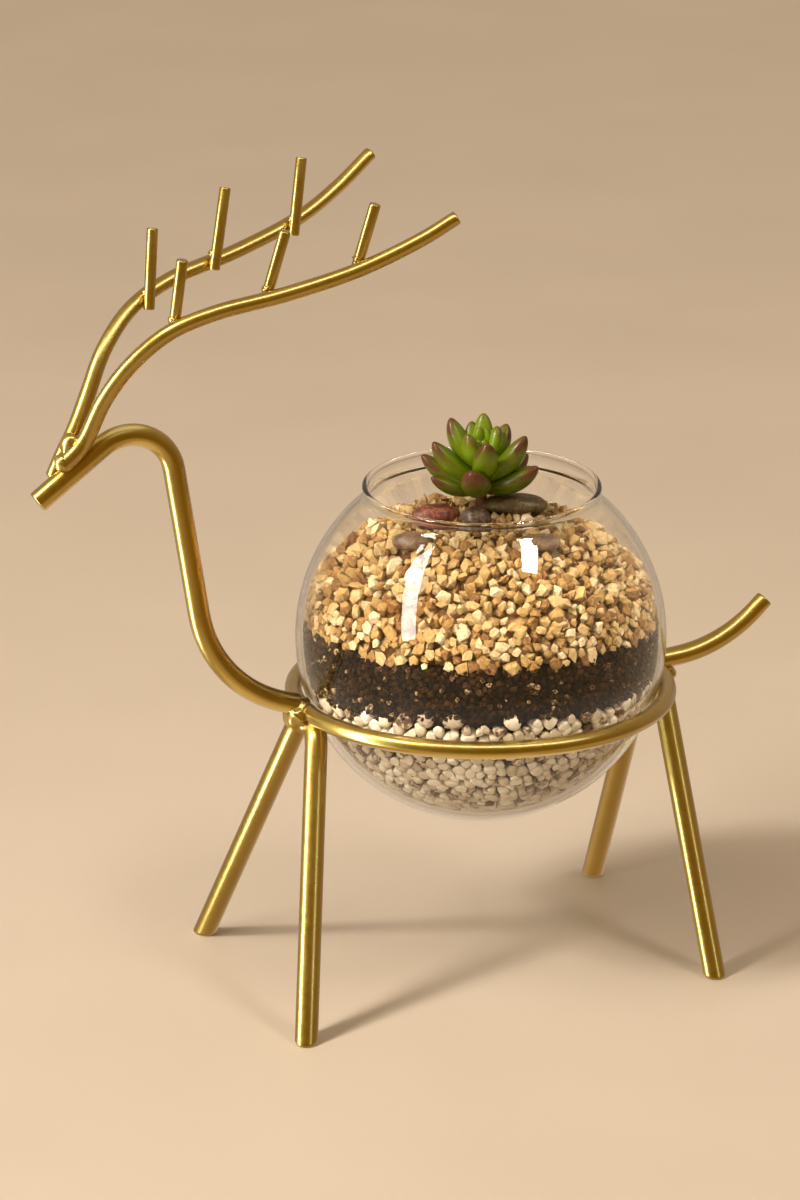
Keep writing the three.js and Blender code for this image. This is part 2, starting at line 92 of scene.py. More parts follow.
def swept(route, radii, sides=BAR_SIDES):
    """A round bar along a route, with a radius at each point, and the rims of its two ends."""
    bar = bmesh.new()
    bmesh.ops.create_circle(bar, segments=sides, radius=1)
    first_rim = rim = bar.edges[:]
    verts = bar.verts[:]
    turned = Matrix.Identity(3)
    facing = Vector((0, 0, 1))
    stood = Matrix.Identity(4)
    for i, (at, radius) in enumerate(zip(route, radii)):
        along = (route[min(i + 1, len(route) - 1)] - route[max(i - 1, 0)]).normalized()
        turned = facing.rotation_difference(along).to_matrix() @ turned
        facing = along
        stand = Matrix.Translation(at) @ turned.to_4x4() @ Matrix.Scale(radius, 4)
        if i > 0:
            made = bmesh.ops.extrude_edge_only(bar, edges=rim)["geom"]
            rim = [part for part in made if isinstance(part, bmesh.types.BMEdge) and part.is_boundary]
            verts = [part for part in made if isinstance(part, bmesh.types.BMVert)]
        bmesh.ops.transform(bar, matrix=stand @ stood.inverted(), verts=verts)
        stood = stand
    for end in (first_rim, rim):
        bmesh.ops.edgeloop_fill(bar, edges=end)
    return bar, (first_rim, rim)


def eased(shape, *rims, by=END_EASE, segments=3):
    """Rounds over the rims of cut ends."""
    bmesh.ops.bevel(
        shape, geom=[edge for rim in rims for edge in rim], offset=by, offset_type="OFFSET",
        segments=segments, profile=0.5, affect="EDGES", material=-1,
    )
    return shape


def shown(name, shape, material):
    """An object of this material in the scene, with a finished shape as its mesh."""
    mesh = bpy.data.meshes.new(name)
    shape.to_mesh(mesh)
    shape.free()
    mesh.materials.append(material)
    thing = bpy.data.objects.new(name, mesh)
    bpy.context.scene.collection.objects.link(thing)
    return thing


def piece(name, shape, material, slot, *nodes, sharp=50):
    """A piece of the object, put round the bowl's axis, which stands for these nodes of the model."""
    bmesh.ops.recalc_face_normals(shape, faces=shape.faces)
    bmesh.ops.transform(shape, matrix=Matrix.Translation(AXIS) @ Matrix.Scale(MM, 4), verts=shape.verts)
    thing = shown(name, shape, material)
    thing.data.shade_smooth()
    thing.data.set_sharp_from_angle(angle=math.radians(sharp))
    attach(thing, "root")
    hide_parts(*nodes)
    return thing


def finish(name, **sockets):
    """A new material with a Principled shader, set to these plain values."""
    material = bpy.data.materials.new(name)
    material.use_nodes = True
    shader = material.node_tree.nodes["Principled BSDF"]
    for socket, value in sockets.items():
        shader.inputs[socket.replace("_", " ")].default_value = value
    return material, material.node_tree, shader


def mottle(tree, scale, detail, rough=0.6):
    """A cloudy pattern in the object's own coordinates, scale to the metre."""
    place = tree.nodes.new("ShaderNodeTexCoord")
    cloud = tree.nodes.new("ShaderNodeTexNoise")
    cloud.inputs["Scale"].default_value = scale
    cloud.inputs["Detail"].default_value = detail
    cloud.inputs["Roughness"].default_value = rough
    tree.links.new(place.outputs["Object"], cloud.inputs["Vector"])
    return cloud.outputs["Fac"]


def ramp(tree, source, *stops):
    """Colours along a pattern: (place, colour) pairs, with the colour in linear light."""
    colours = tree.nodes.new("ShaderNodeValToRGB")
    for _ in stops[2:]:
        colours.color_ramp.elements.new(0.5)
    for element, (at, colour) in zip(colours.color_ramp.elements, stops):
        element.position = at
        element.color = (*colour, 1)
    tree.links.new(source, colours.inputs["Fac"])
    return colours.outputs["Color"]


def spread(tree, source, low, high, start=0.3, end=0.7):
    """A pattern's values between start and end, spread from low to high."""
    scale = tree.nodes.new("ShaderNodeMapRange")
    for socket, value in zip(("From Min", "From Max", "To Min", "To Max"), (start, end, low, high)):
        scale.inputs[socket].default_value = value
    tree.links.new(source, scale.inputs["Value"])
    return scale.outputs["Result"]


def relief(tree, shader, source, depth):
    """Raises the surface by a pattern, depth in metres."""
    bump = tree.nodes.new("ShaderNodeBump")
    bump.inputs["Distance"].default_value = depth
    tree.links.new(source, bump.inputs["Height"])
    tree.links.new(bump.outputs["Normal"], shader.inputs["Normal"])


def gold_finish(name, dark, pale, roughness, depth):
    """Sprayed satin gold: a metal whose film is a little uneven in colour and gloss."""
    material, tree, shader = finish(name, Metallic=1.0, Coat_Weight=0.85, Coat_Roughness=0.20)
    film = mottle(tree, scale=90, detail=5)
    tree.links.new(ramp(tree, film, (0.3, dark), (0.7, pale)), shader.inputs["Base Color"])
    satin = mottle(tree, scale=700, detail=4)
    tree.links.new(spread(tree, satin, *roughness), shader.inputs["Roughness"])
    relief(tree, shader, satin, depth)
    return material


gold = gold_finish(
    "satin_gold", dark=(0.50, 0.315, 0.045), pale=(0.57, 0.370, 0.062), roughness=(0.27, 0.36),
    depth=0.000006,
)
neck_route = bent(NECK_CORNERS, NECK_BENDS)
neck, neck_rims = swept(neck_route, [NECK_RADIUS] * len(neck_route))
neck_bar = piece("neck_bar", eased(neck, *neck_rims), gold, "gold", "neck_rod")

# ---------------------------------------------------------------- holder ring
# A thinner bar rolled into a hoop that the bowl sits in. Two fine lines on the deer's left
# side show where it was joined and ground flush.
RING_RADIUS = 50.6
RING_BAR_RADIUS = 2.35
RING_HEIGHT = 77.4
RING_STEPS = 240
SEAM_TURNS = [math.radians(-100.4), math.radians(-111.6)]
SEAM_DEPTH = 0.09
ring = bmesh.new()
made = bmesh.ops.create_circle(ring, segments=BAR_SIDES, radius=RING_BAR_RADIUS)
stand_up = Matrix.Translation((RING_RADIUS, 0, RING_HEIGHT)) @ Matrix.Rotation(math.pi / 2, 4, "X")
bmesh.ops.transform(ring, matrix=stand_up, verts=made["verts"])
bmesh.ops.spin(
    ring, geom=ring.verts[:] + ring.edges[:], cent=(0, 0, 0), axis=(0, 0, 1), angle=2 * math.pi,
    steps=RING_STEPS, use_merge=True, use_duplicate=False,
)
for vert in ring.verts:
    turn = math.atan2(vert.co.y, vert.co.x)
    if min(abs(turn - seam) for seam in SEAM_TURNS) < math.pi / RING_STEPS:
        middle = Vector((RING_RADIUS * math.cos(turn), RING_RADIUS * math.sin(turn), RING_HEIGHT))
        vert.co += (middle - vert.co).normalized() * SEAM_DEPTH
piece("ring_bar", ring, gold, "gold", "holder_ring")

# ---------------------------------------------------------------- tail bar
# A short bar that leaves the back of the ring level and turns up to a cut end. It is a little
# thinner at that end.
TAIL_CORNERS = [(53.2, 0, 78.2), (73.1, 0, 80.3), (85.4, 0, 92.2)]
TAIL_BENDS = [40]
TAIL_RADII = (2.75, 2.45)


def tapered(route, first, last):
    """The radius at each point of a bar that thins evenly from point to point."""
    count = len(route) - 1
    return [first + (last - first) * k / count for k in range(count + 1)]


tail_route = bent(TAIL_CORNERS, TAIL_BENDS)
tail, tail_rims = swept(tail_route, tapered(tail_route, *TAIL_RADII))
piece("tail_bar", eased(tail, *tail_rims), gold, "gold", "tail_rod")

# ---------------------------------------------------------------- legs
# Each pair of legs is one bar, bent to a narrow V under the ring. The feet are cut level
# and filed round at the edge.
LEG_TOP = 86.3
LEG_BEND = 8.8
LEG_RADIUS = 3.05
LEG_SPARE = 4.0
SOLE_EASE = 1.1


def legs(name, foot_x, foot_y, top_x):
    """One pair: a bar from foot to foot, some spare length below the floor cut off level."""
    lean = Vector((top_x - foot_x, foot_y, LEG_TOP)) * (LEG_SPARE / LEG_TOP)
    corners = [
        (foot_x - lean.x, -foot_y - lean.y, -LEG_SPARE),
        (top_x, 0, LEG_TOP),
        (foot_x - lean.x, foot_y + lean.y, -LEG_SPARE),
    ]
    route = bent(corners, [LEG_BEND])
    pair, _ = swept(route, [LEG_RADIUS] * len(route))
    cut = bmesh.ops.bisect_plane(
        pair, geom=pair.verts[:] + pair.edges[:] + pair.faces[:], plane_co=(0, 0, 0), plane_no=(0, 0, -1),
        clear_outer=True,
    )
    soles = [part for part in cut["geom_cut"] if isinstance(part, bmesh.types.BMEdge)]
    bmesh.ops.edgeloop_fill(pair, edges=soles)
    piece(name + "_bar", eased(pair, soles, by=SOLE_EASE, segments=5), gold, "gold", name)


legs("front_legs", foot_x=-66.2, foot_y=40.7, top_x=-46.8)
legs("rear_legs", foot_x=52.7, foot_y=40.3, top_x=51.0)

# ---------------------------------------------------------------- antlers
# Two thinner bars, bent by hand to nearly mirrored sweeps that rise from behind the nose and
# run back over the body, tapering to cut ends. Their roots are melted round into the weld.
ANTLER_RADII = (2.3, 1.83)
ANTLER_SIDES = 26
ROOT_EASE = 1.7
CUT_EASE = 0.4
ANTLER_POINTS = {
    "left": [
        (-117.3, -2.5, 152.6), (-113.7, -2.9, 155.6), (-111.1, -3.3, 158.8), (-106.7, -6.3, 169.7),
        (-100.4, -10.5, 179.8), (-91.7, -15.1, 188.2), (-80.9, -18.7, 193.0), (-63.3, -22.7, 197.2),
        (-45.1, -26.9, 202.9), (-29.9, -31.2, 210.3), (-21.2, -33.2, 215.6),
    ],
    "right": [
        (-118.2, 2.1, 147.8), (-115.2, 2.5, 154.0), (-111.7, 3.2, 160.1), (-107.1, 6.0, 168.5),
        (-101.4, 9.8, 178.6), (-92.4, 14.8, 187.4), (-80.3, 18.8, 193.2), (-60.1, 23.4, 198.1),
        (-40.6, 28.2, 204.5), (-28.3, 31.6, 211.3), (-18.2, 34.0, 218.9),
    ],
}


def through(points, steps=7):
    """A smooth run through given points, as a springy bar takes it."""
    points = [Vector(point) for point in points]
    points = [points[0] * 2 - points[1], *points, points[-1] * 2 - points[-2]]
    route = []
    for a, b, c, d in zip(points, points[1:], points[2:], points[3:]):
        first, middle, last = ((q - p).length ** 0.5 for p, q in ((a, b), (b, c), (c, d)))
        leaving = ((b - a) / first - (c - a) / (first + middle) + (c - b) / middle) * middle
        coming = ((c - b) / middle - (d - b) / (middle + last) + (d - c) / last) * middle
        for k in range(steps):
            t = k / steps
            route.append(
                b * (2 * t**3 - 3 * t**2 + 1) + leaving * (t**3 - 2 * t**2 + t)
                + c * (3 * t**2 - 2 * t**3) + coming * (t**3 - t**2)
            )
    return route + [points[-2]]


for hand, points in ANTLER_POINTS.items():
    route = through(points)
    antler, (root_rim, tip_rim) = swept(route, tapered(route, *ANTLER_RADII), ANTLER_SIDES)
    eased(antler, root_rim, by=ROOT_EASE, segments=6)
    eased(antler, tip_rim, by=CUT_EASE)
    piece(f"antler_bar_{hand}", antler, gold, "gold", f"antler_{hand}")

# ---------------------------------------------------------------- antler tines
# Three short rods on each antler, lapped against its inner side and held by a small
# smear of braze at the crossing.
TINE_RADIUS = 1.48
TINE_SIDES = 22
TINE_EASE = 0.35
SMEAR_HEIGHT = 4.4
SMEAR_FORWARD = 0.9
SMEAR_OUTWARD = 0.5
SMEAR_HALF = (1.1, 1.3, 0.95)
SMEAR_WOBBLE = 0.3
LUMP_WAVES = 1.6
TINES = {
    "left": [
        ((-90.0, -12.2, 186.6), (-87.9, -14.5, 206.4)),
        ((-67.6, -18.2, 194.0), (-62.7, -20.8, 213.0)),
        ((-45.2, -23.5, 200.9), (-40.6, -26.2, 219.2)),
    ],
    "right": [
        ((-88.1, 12.4, 187.4), (-85.8, 15.2, 208.1)),
        ((-68.4, 17.5, 195.0), (-64.0, 20.5, 215.9)),
        ((-44.3, 23.1, 200.9), (-40.8, 26.1, 220.9)),
    ],
}


def lump(shape, at, half, wobble, seed, fineness=4):
    """A rounded lump of metal or stone, uneven by a share of its size."""
    ball = bmesh.ops.create_icosphere(shape, subdivisions=fineness, radius=1)["verts"]
    for vert in ball:
        uneven = noise.noise(vert.co * LUMP_WAVES + Vector((seed, 0, 0)))
        vert.co *= 1 + wobble * uneven
    bmesh.ops.transform(shape, matrix=Matrix.Translation(at) @ Matrix.Diagonal((*half, 1)), verts=ball)
    return ball


for hand, tines in TINES.items():
    outward = -SMEAR_OUTWARD if hand == "left" else SMEAR_OUTWARD
    for i, (foot, tip) in enumerate(tines, start=1):
        foot, tip = Vector(foot), Vector(tip)
        tine, tine_rims = swept([foot, foot.lerp(tip, 0.5), tip], [TINE_RADIUS] * 3, TINE_SIDES)
        eased(tine, *tine_rims, by=TINE_EASE)
        smear = foot + (tip - foot).normalized() * SMEAR_HEIGHT + Vector((-SMEAR_FORWARD, outward, 0))
        lump(tine, smear, SMEAR_HALF, SMEAR_WOBBLE, seed=i, fineness=3)
        piece(f"tine_bar_{hand}_{i}", tine, gold, "gold", f"tine_{hand}_{i}")

# ---------------------------------------------------------------- welds
# Beads of braze where the bars meet, each a few lumps that ran together. They are left as
# they ran, so they are uneven, and a little brighter than the bar under the same gold.
weld_gold = gold_finish(
    "weld_gold", dark=(0.56, 0.36, 0.055), pale=(0.66, 0.43, 0.080), roughness=(0.24, 0.36),
    depth=0.00001,
)
BEAD_GRAIN = 0.3
BEAD_FLOW = 6
# Each lump: its middle, its half sizes and how uneven it is.
WELDS = {
    "front_weld": [
        ((-52.2, 0, 76.4), (4.2, 4.9, 4.5), 0.25),
        ((-53.0, -3.0, 77.2), (1.9, 1.8, 2.0), 0.3),
        ((-51.6, -3.2, 74.4), (1.7, 1.5, 2.1), 0.3),
    ],
    "rear_weld": [((54.6, 0, 74.7), (3.2, 4.2, 3.1), 0.25)],
    "head_weld": [
        ((-114.2, -0.8, 156.9), (2.6, 3.1, 3.9), 0.12),
        ((-116.4, -2.2, 153.4), (2.7, 2.6, 2.7), 0.12),
    ],
}
for i, (node, lumps) in enumerate(WELDS.items()):
    weld = bmesh.new()
    for k, (at, half, wobble) in enumerate(lumps):
        lump(weld, Vector(at), half, wobble, seed=7 * i + 3 * k)
    bead = piece(node + "_bead", weld, weld_gold, "gold_weld", node)
    joined = bead.modifiers.new("joined", "REMESH")
    joined.mode = "VOXEL"
    joined.voxel_size = BEAD_GRAIN * MM
    joined.use_smooth_shade = True
    flowed = bead.modifiers.new("flowed", "SMOOTH")
    flowed.factor = 0.5
    flowed.iterations = BEAD_FLOW

# ---------------------------------------------------------------- glass bowl
# A blown ball of clear glass with a wide mouth and a fire-polished rolled lip. The wall
# is 1.2 mm thick. The round bowl can turn in its ring, and leans a little to its front.
BOWL_RADIUS = 50.0
BOWL_HEIGHT = 92.1
BOWL_STEPS = 160
GLASS_WALL = 1.2
COLLAR_BEND = 2.5
# The lip is a bead that stands out past the collar by its roll. Its outline runs round from
# under its outer side to under its inner side.
LIP_RADIUS = 31.9
LIP_TOP = 135.3
LIP_HALF = 0.75
LIP_ROLL = 0.6
LIP_START = -0.9
LIP_END = math.pi + 0.6
BOWL_LEAN = math.radians(3)
# The bowl's front is turned this far from the deer's left side towards its head.
FRONT_TURN = math.radians(21.8)


def arc(centre, radius, start, end, steps):
    """Points of half an outline, (distance from the axis, height), round a centre; angles in radians."""
    angles = [start + (end - start) * k / steps for k in range(steps + 1)]
    return [(centre[0] + radius * math.cos(a), centre[1] + radius * math.sin(a)) for a in angles]


def turned_on_lathe(outline, steps):
    """A body of revolution about the bowl's axis from half its outline."""
    body = bmesh.new()
    verts = [body.verts.new((max(x, 0), 0, z)) for x, z in outline]
    edges = [body.edges.new(pair) for pair in zip(verts, verts[1:])]
    bmesh.ops.spin(
        body, geom=verts + edges, cent=(0, 0, 0), axis=(0, 0, 1), angle=2 * math.pi, steps=steps,
        use_merge=True, use_duplicate=False,
    )
    bmesh.ops.remove_doubles(body, verts=body.verts, dist=0.001)
    return body


def glass_face(inward):
    """Half the outline of one face of the wall: the ball from the bottom up, and the collar."""
    reach = LIP_RADIUS - LIP_ROLL + COLLAR_BEND
    flare = (reach, BOWL_HEIGHT + math.sqrt((BOWL_RADIUS + COLLAR_BEND) ** 2 - reach**2))
    mouth = math.atan2(flare[1] - BOWL_HEIGHT, flare[0])
    ball = arc((0, BOWL_HEIGHT), BOWL_RADIUS - inward, -math.pi / 2, mouth, steps=64)
    return ball + arc(flare, COLLAR_BEND + inward, math.pi + mouth, math.pi, steps=8)[1:]


lip = arc((LIP_RADIUS - LIP_HALF, LIP_TOP - LIP_HALF), LIP_HALF, LIP_START, LIP_END, steps=24)
bowl = turned_on_lathe(glass_face(0) + lip + glass_face(GLASS_WALL)[::-1], BOWL_STEPS)
across = Matrix.Rotation(-FRONT_TURN, 3, "Z") @ Vector((1, 0, 0))
bmesh.ops.rotate(
    bowl, verts=bowl.verts, cent=(0, 0, BOWL_HEIGHT), matrix=Matrix.Rotation(BOWL_LEAN, 3, across),
)
clear_glass, _, _ = finish(
    "clear_glass", Base_Color=(0.985, 0.99, 0.985, 1), Roughness=0.0, Transmission_Weight=1.0, IOR=1.23,
    Coat_Weight=1.0, Coat_IOR=1.22, Coat_Roughness=0.0,
)
glass_bowl = piece("bowl_glass", bowl, clear_glass, "glass", "glass_bowl", sharp=80)
glass_bowl.visible_shadow = False

# ---------------------------------------------------------------- pumice layer
# White drainage stones, tumbled nearly round, pressed against each other and the bottom
# of the glass, with some brown chips of bark and lava among them.
FILL_RADIUS = 48.0
FILL_BOTTOM = BOWL_HEIGHT - FILL_RADIUS
BOWL_MIDDLE = Vector((0, 0, BOWL_HEIGHT))
PUMICE_TOP = 85.9
PUMICE_CORE_RADIUS = FILL_RADIUS - 2.6
PUMICE_CORE_TOP = PUMICE_TOP - 6.6
GOLDEN_TURN = math.pi * (3 - math.sqrt(5))
STONES_BELOW = 0.6
# The line where soil meets pumice: its depth under the pumice's top, its sag at the bowl's two
# sides, its slope and how far that is turned, and the height and closeness of its waves.
SOIL_DROP = 2.2
SOIL_SAG = 1.2
SOIL_SLOPE = 1.6
SOIL_RUN = math.radians(130)
SOIL_WAVE = 1.3
SOIL_WAVES = 3
# In shares of a grain's size: how far its middle stands in from the glass, how far off its
# neighbours still press it, and how near its middle it was chipped. A corner that meets
# nothing stops at the size divided by FREE_CORNER.
GRAIN_INSET = (0.45, 0.8)
PRESS_REACH = 3.2
CHIP_REACH = (0.62, 1.0)
FREE_CORNER = 0.75
# In millimetres: how uneven the filling's edge is, and the distance from the axis inside which
# spots are shifted no further round than at it.
EDGE_SPREAD = 0.3
POLE_RADIUS = 5


def bed_of(outline, steps):
    """The hidden body under a layer's grains, with a place to keep each grain's tone."""
    bed = turned_on_lathe(outline, steps)
    bed.verts.layers.float.new("tone")
    return bed


def random_turn(draw):
    """A direction drawn evenly from all of them."""
    return Vector(draw.gauss(0, 1) for _ in range(3)).normalized()


def packed(bed, grains, draw, fineness, sharpness, chips, gap, stretch, rough):
    """Grains that fill the room between their neighbours, at (place, size) spots inside the glass.

    Each starts as a small ball. Its corners are pushed out until they meet the planes between
    it and the grains round it, and a few planes where it was chipped.
    """
    ball = bmesh.new()
    ball.verts.layers.float.new("tone")
    bmesh.ops.create_icosphere(ball, subdivisions=fineness, radius=1)
    pattern = bpy.data.meshes.new("grain")
    ball.to_mesh(pattern)
    ball.free()
    corners = [vert.co.copy() for vert in pattern.vertices]
    found = kdtree.KDTree(len(grains))
    for k, (at, size) in enumerate(grains):
        found.insert(at, k)
    found.balance()
    for k, (at, size) in enumerate(grains):
        planes = []
        for other, j, distance in found.find_range(at, PRESS_REACH * size):
            if j != k:
                planes.append((other - at) * (size + grains[j][1]) / (distance**2 * size))
        planes += [random_turn(draw) / (size * draw.uniform(*CHIP_REACH)) for _ in range(chips)]
        wall = FILL_RADIUS - EDGE_SPREAD * draw.random()
        drawn_out, longer = random_turn(draw), draw.uniform(-stretch, stretch)
        spin = Matrix.Rotation(draw.uniform(0, math.pi), 3, random_turn(draw))
        places = []
        for corner in corners:
            corner = spin @ corner
            pressed = sum(max(corner.dot(plane), 0) ** sharpness for plane in planes)
            reach = (pressed + (FREE_CORNER / size) ** sharpness) ** (-1 / sharpness)
            reach *= 1 - gap + draw.uniform(-rough, rough)
            place = at + (corner + drawn_out * corner.dot(drawn_out) * longer) * reach
            out = place - BOWL_MIDDLE
            if out.length > wall:
                place = BOWL_MIDDLE + out * (wall / out.length)
            places.extend(place)
        grain = pattern.copy()
        grain.vertices.foreach_set("co", places)
        grain.attributes["tone"].data.foreach_set("value", [draw.random()] * len(corners))
        bed.from_mesh(grain)
        bpy.data.meshes.remove(grain)
    bpy.data.meshes.remove(pattern)


def on_wall(draw, count, low, high, sizes, jitter, deep=0):
    """Spots spread evenly over the inside of the glass between two heights."""
    spots = []
    for k in range(count):
        height = low + (high - low) * (k + 0.5) / count + draw.uniform(-jitter, jitter)
        tall = (min(max(height, low), high) - BOWL_HEIGHT) / FILL_RADIUS
        flat = math.sqrt(1 - tall * tall)
        size = draw.uniform(*sizes)
        reach = FILL_RADIUS - deep - size * draw.uniform(*GRAIN_INSET)
        turn = k * GOLDEN_TURN + draw.uniform(-jitter, jitter) / max(flat * reach, POLE_RADIUS)
        outward = Vector((flat * math.cos(turn), flat * math.sin(turn), tall))
        spots.append((BOWL_MIDDLE + outward * reach, size))
    return spots


def soil_line(at):
    """Height at which the soil meets the pumice, on the side of the bowl where a place is."""
    turn = math.atan2(at.y, at.x)
    uneven = noise.noise(Vector((SOIL_WAVES * math.cos(turn), SOIL_WAVES * math.sin(turn), 0)))
    sag = SOIL_SAG * (1 + math.cos(2 * (turn + FRONT_TURN)))
    return PUMICE_TOP - SOIL_DROP - sag + SOIL_SLOPE * math.sin(turn + SOIL_RUN) + SOIL_WAVE * uneven


def known(tree, name):
    """A value that the mesh keeps at each of its points."""
    attribute = tree.nodes.new("ShaderNodeAttribute")
    attribute.attribute_name = name
    return attribute.outputs["Fac"]


def combined(tree, how, first, second):
    """Two patterns, or a pattern and a plain number, made one."""
    maths = tree.nodes.new("ShaderNodeMath")
    maths.operation = how
    for socket, value in zip(maths.inputs, (first, second)):
        if isinstance(value, float):
            socket.default_value = value
        else:
            tree.links.new(value, socket)
    return maths.outputs["Value"]


def grain_finish(name, stops, roughness, depth, speck_scale=900, variation=0.14, gloss=0.25):
    """Mineral grains: each grain has its own tone, with a finer mottling over it."""
    material, tree, shader = finish(name, Specular_IOR_Level=gloss)
    fine = mottle(tree, speck_scale, detail=4)
    tone = combined(tree, "ADD", known(tree, "tone"), spread(tree, fine, -variation, variation))
    tree.links.new(ramp(tree, tone, *stops), shader.inputs["Base Color"])
    tree.links.new(spread(tree, fine, *roughness), shader.inputs["Roughness"])
    relief(tree, shader, fine, depth)
    return material


pumice_white = grain_finish(
    "pumice_white",
    [(0.0, (0.085, 0.042, 0.024)), (0.06, (0.16, 0.085, 0.05)), (0.11, (0.45, 0.35, 0.23)),
     (0.45, (0.66, 0.55, 0.39)), (1.0, (0.80, 0.71, 0.55))],
    roughness=(0.75, 0.95), depth=0.00012,
)
draw = random.Random(11)
core_edge = math.asin((PUMICE_CORE_TOP - BOWL_HEIGHT) / PUMICE_CORE_RADIUS)
core = arc((0, BOWL_HEIGHT), PUMICE_CORE_RADIUS, -math.pi / 2, core_edge, steps=30)
pumice = bed_of(core + [(0, PUMICE_CORE_TOP)], steps=90)
pumice_spots = on_wall(
    draw, count=1350, low=FILL_BOTTOM + 1.2, high=PUMICE_TOP - 1.0, sizes=(1.1, 2.3), jitter=0.9,
)
pumice_spots = [(at, size) for at, size in pumice_spots if at.z < soil_line(at) - STONES_BELOW]
packed(pumice, pumice_spots, draw, fineness=2, sharpness=7, chips=3, gap=0.0, stretch=0.16, rough=0.03)
piece("pumice_stones", pumice, pumice_white, "pumice", "pumice_layer", sharp=60)

# ---------------------------------------------------------------- soil layer
# Dark potting soil, crumbly and fibrous, in a band between the pumice and the gravel.
# Its bed is a ring of uneven earth just behind the crumbs, and deeper where the pumice starts.
SOIL_TOP = 97.5
SOIL_BED_LOW = PUMICE_TOP - 6.4
SOIL_BED_HIGH = SOIL_TOP + 0.6
SOIL_BED_STEPS = 12
SOIL_BED_DEEP = 2.4
SOIL_BED_SHALLOW = 0.8
CRUMBS_BELOW = 0.3
# The bed's side ripples by about this much, in broad waves and finer ones, which are a share
# as high. The two closenesses are theirs.
SOIL_BED_RIPPLE = 0.5
SOIL_BED_WAVES = (0.55, 1.7)
SOIL_BED_FINER = 0.6


def ball_radius(height, radius=FILL_RADIUS):
    """Distance of the filling's edge from the axis at a height."""
    return math.sqrt(max(radius**2 - (height - BOWL_HEIGHT) ** 2, 0))


soil_brown = grain_finish(
    "soil_brown",
    [(0.0, (0.004, 0.0016, 0.0004)), (0.45, (0.018, 0.0068, 0.0014)), (0.90, (0.040, 0.016, 0.0045)),
     (0.985, (0.075, 0.033, 0.011)), (1.0, (0.34, 0.23, 0.12))],
    roughness=(0.8, 1.0), depth=0.0002, speck_scale=1600, gloss=0.06,
)
draw = random.Random(5)
side = []
for k in range(SOIL_BED_STEPS + 1):
    height = SOIL_BED_LOW + (SOIL_BED_HIGH - SOIL_BED_LOW) * k / SOIL_BED_STEPS
    inset = SOIL_BED_SHALLOW if height > PUMICE_TOP else SOIL_BED_DEEP
    side.append((ball_radius(height, FILL_RADIUS - inset), height))
soil = bed_of([(0, SOIL_BED_LOW)] + side + [(0, SOIL_BED_HIGH)], steps=180)
for vert in soil.verts:
    flat = Vector((vert.co.x, vert.co.y, 0))
    if flat.length > 1:
        broad, finer = (noise.noise(vert.co * closeness) for closeness in SOIL_BED_WAVES)
        ripple = 1 + broad + SOIL_BED_FINER * finer
        vert.co -= flat.normalized() * SOIL_BED_RIPPLE * ripple
soil_spots = on_wall(
    draw, count=2300, low=PUMICE_TOP - 6.0, high=SOIL_TOP + 0.5, sizes=(0.5, 1.4), jitter=0.6,
)
soil_spots = [(at, size) for at, size in soil_spots if at.z > soil_line(at) - CRUMBS_BELOW]
packed(soil, soil_spots, draw, fineness=1, sharpness=8, chips=3, gap=0.05, stretch=0.4, rough=0.12)
piece("soil_crumbs", soil, soil_brown, "soil", "soil_layer", sharp=60)

# ---------------------------------------------------------------- gravel layer
# Straw-coloured crushed stone in angular chips and flakes of mixed size, heaped to a low
# mound that stands above the middle of the bowl. One chip in ten is a larger one.
MOUND_TOP = 127.0
MOUND_EDGE = 104.8
MOUND_INSET = (0.2, 0.9)
MOUND_POLE = 3
LARGE_SHARE = 0.1
LARGE_GROWTH = 1.4
STEM_ROOM = 2.4
PEBBLE_ROOM = 0.8
GRAVEL_BED_INSET = 3
GRAVEL_BED_EDGE = MOUND_EDGE - 4
GRAVEL_BED_DEPTH = 3.2
GRAVEL_BED_RADII = (41, 37, 32, 24, 16, 8, 0)
# The pebbles that the chips leave room for: middle, half sizes and turn in degrees.
PEBBLES = {
    "red": [(-14.1, -2.3, 128.2), (6.3, 4.2, 2.9), -22],
    "grey": [(-5.9, -9.5, 128.3), (4.3, 3.7, 2.9), -22],
    "olive": [(7.9, -3.8, 129.0), (8.9, 5.0, 2.9), -24],
    "brown_left": [(-24.4, -11.2, 124.3), (5.5, 3.8, 2.3), -30],
    "brown_right": [(5.9, -24.6, 124.2), (5.7, 3.9, 2.4), -15],
    "white": [(7.7, -12.5, 127.2), (1.7, 1.5, 1.3), 10],
}


def mound(radius):
    """Height of the heap at a distance from the axis."""
    return MOUND_TOP - (MOUND_TOP - MOUND_EDGE) * (radius / ball_radius(MOUND_EDGE)) ** 3


def under_pebble(at):
    """True where a pebble lies on the heap."""
    for place, half, turn in PEBBLES.values():
        off = Matrix.Rotation(-math.radians(turn), 3, "Z") @ (at - Vector(place))
        if (off.x / (half[0] * PEBBLE_ROOM)) ** 2 + (off.y / (half[1] * PEBBLE_ROOM)) ** 2 < 1:
            return True
    return False


def on_mound(draw, count, sizes, jitter, deep=0):
    """Spots spread evenly over the heap, clear of the pebbles and the stem."""
    spots = []
    edge = ball_radius(MOUND_EDGE)
    for k in range(count):
        size = draw.uniform(*sizes) * (LARGE_GROWTH if draw.random() > 1 - LARGE_SHARE else 1)
        radius = edge * math.sqrt((k + 0.5) / count) + draw.uniform(-jitter, jitter)
        radius = min(abs(radius), edge - size / 2)
        turn = k * GOLDEN_TURN + draw.uniform(-jitter, jitter) / max(radius, MOUND_POLE)
        height = mound(radius) - deep - size * draw.uniform(*MOUND_INSET)
        at = Vector((radius * math.cos(turn), radius * math.sin(turn), height))
        if radius > STEM_ROOM and not under_pebble(at):
            spots.append((at, size))
    return spots


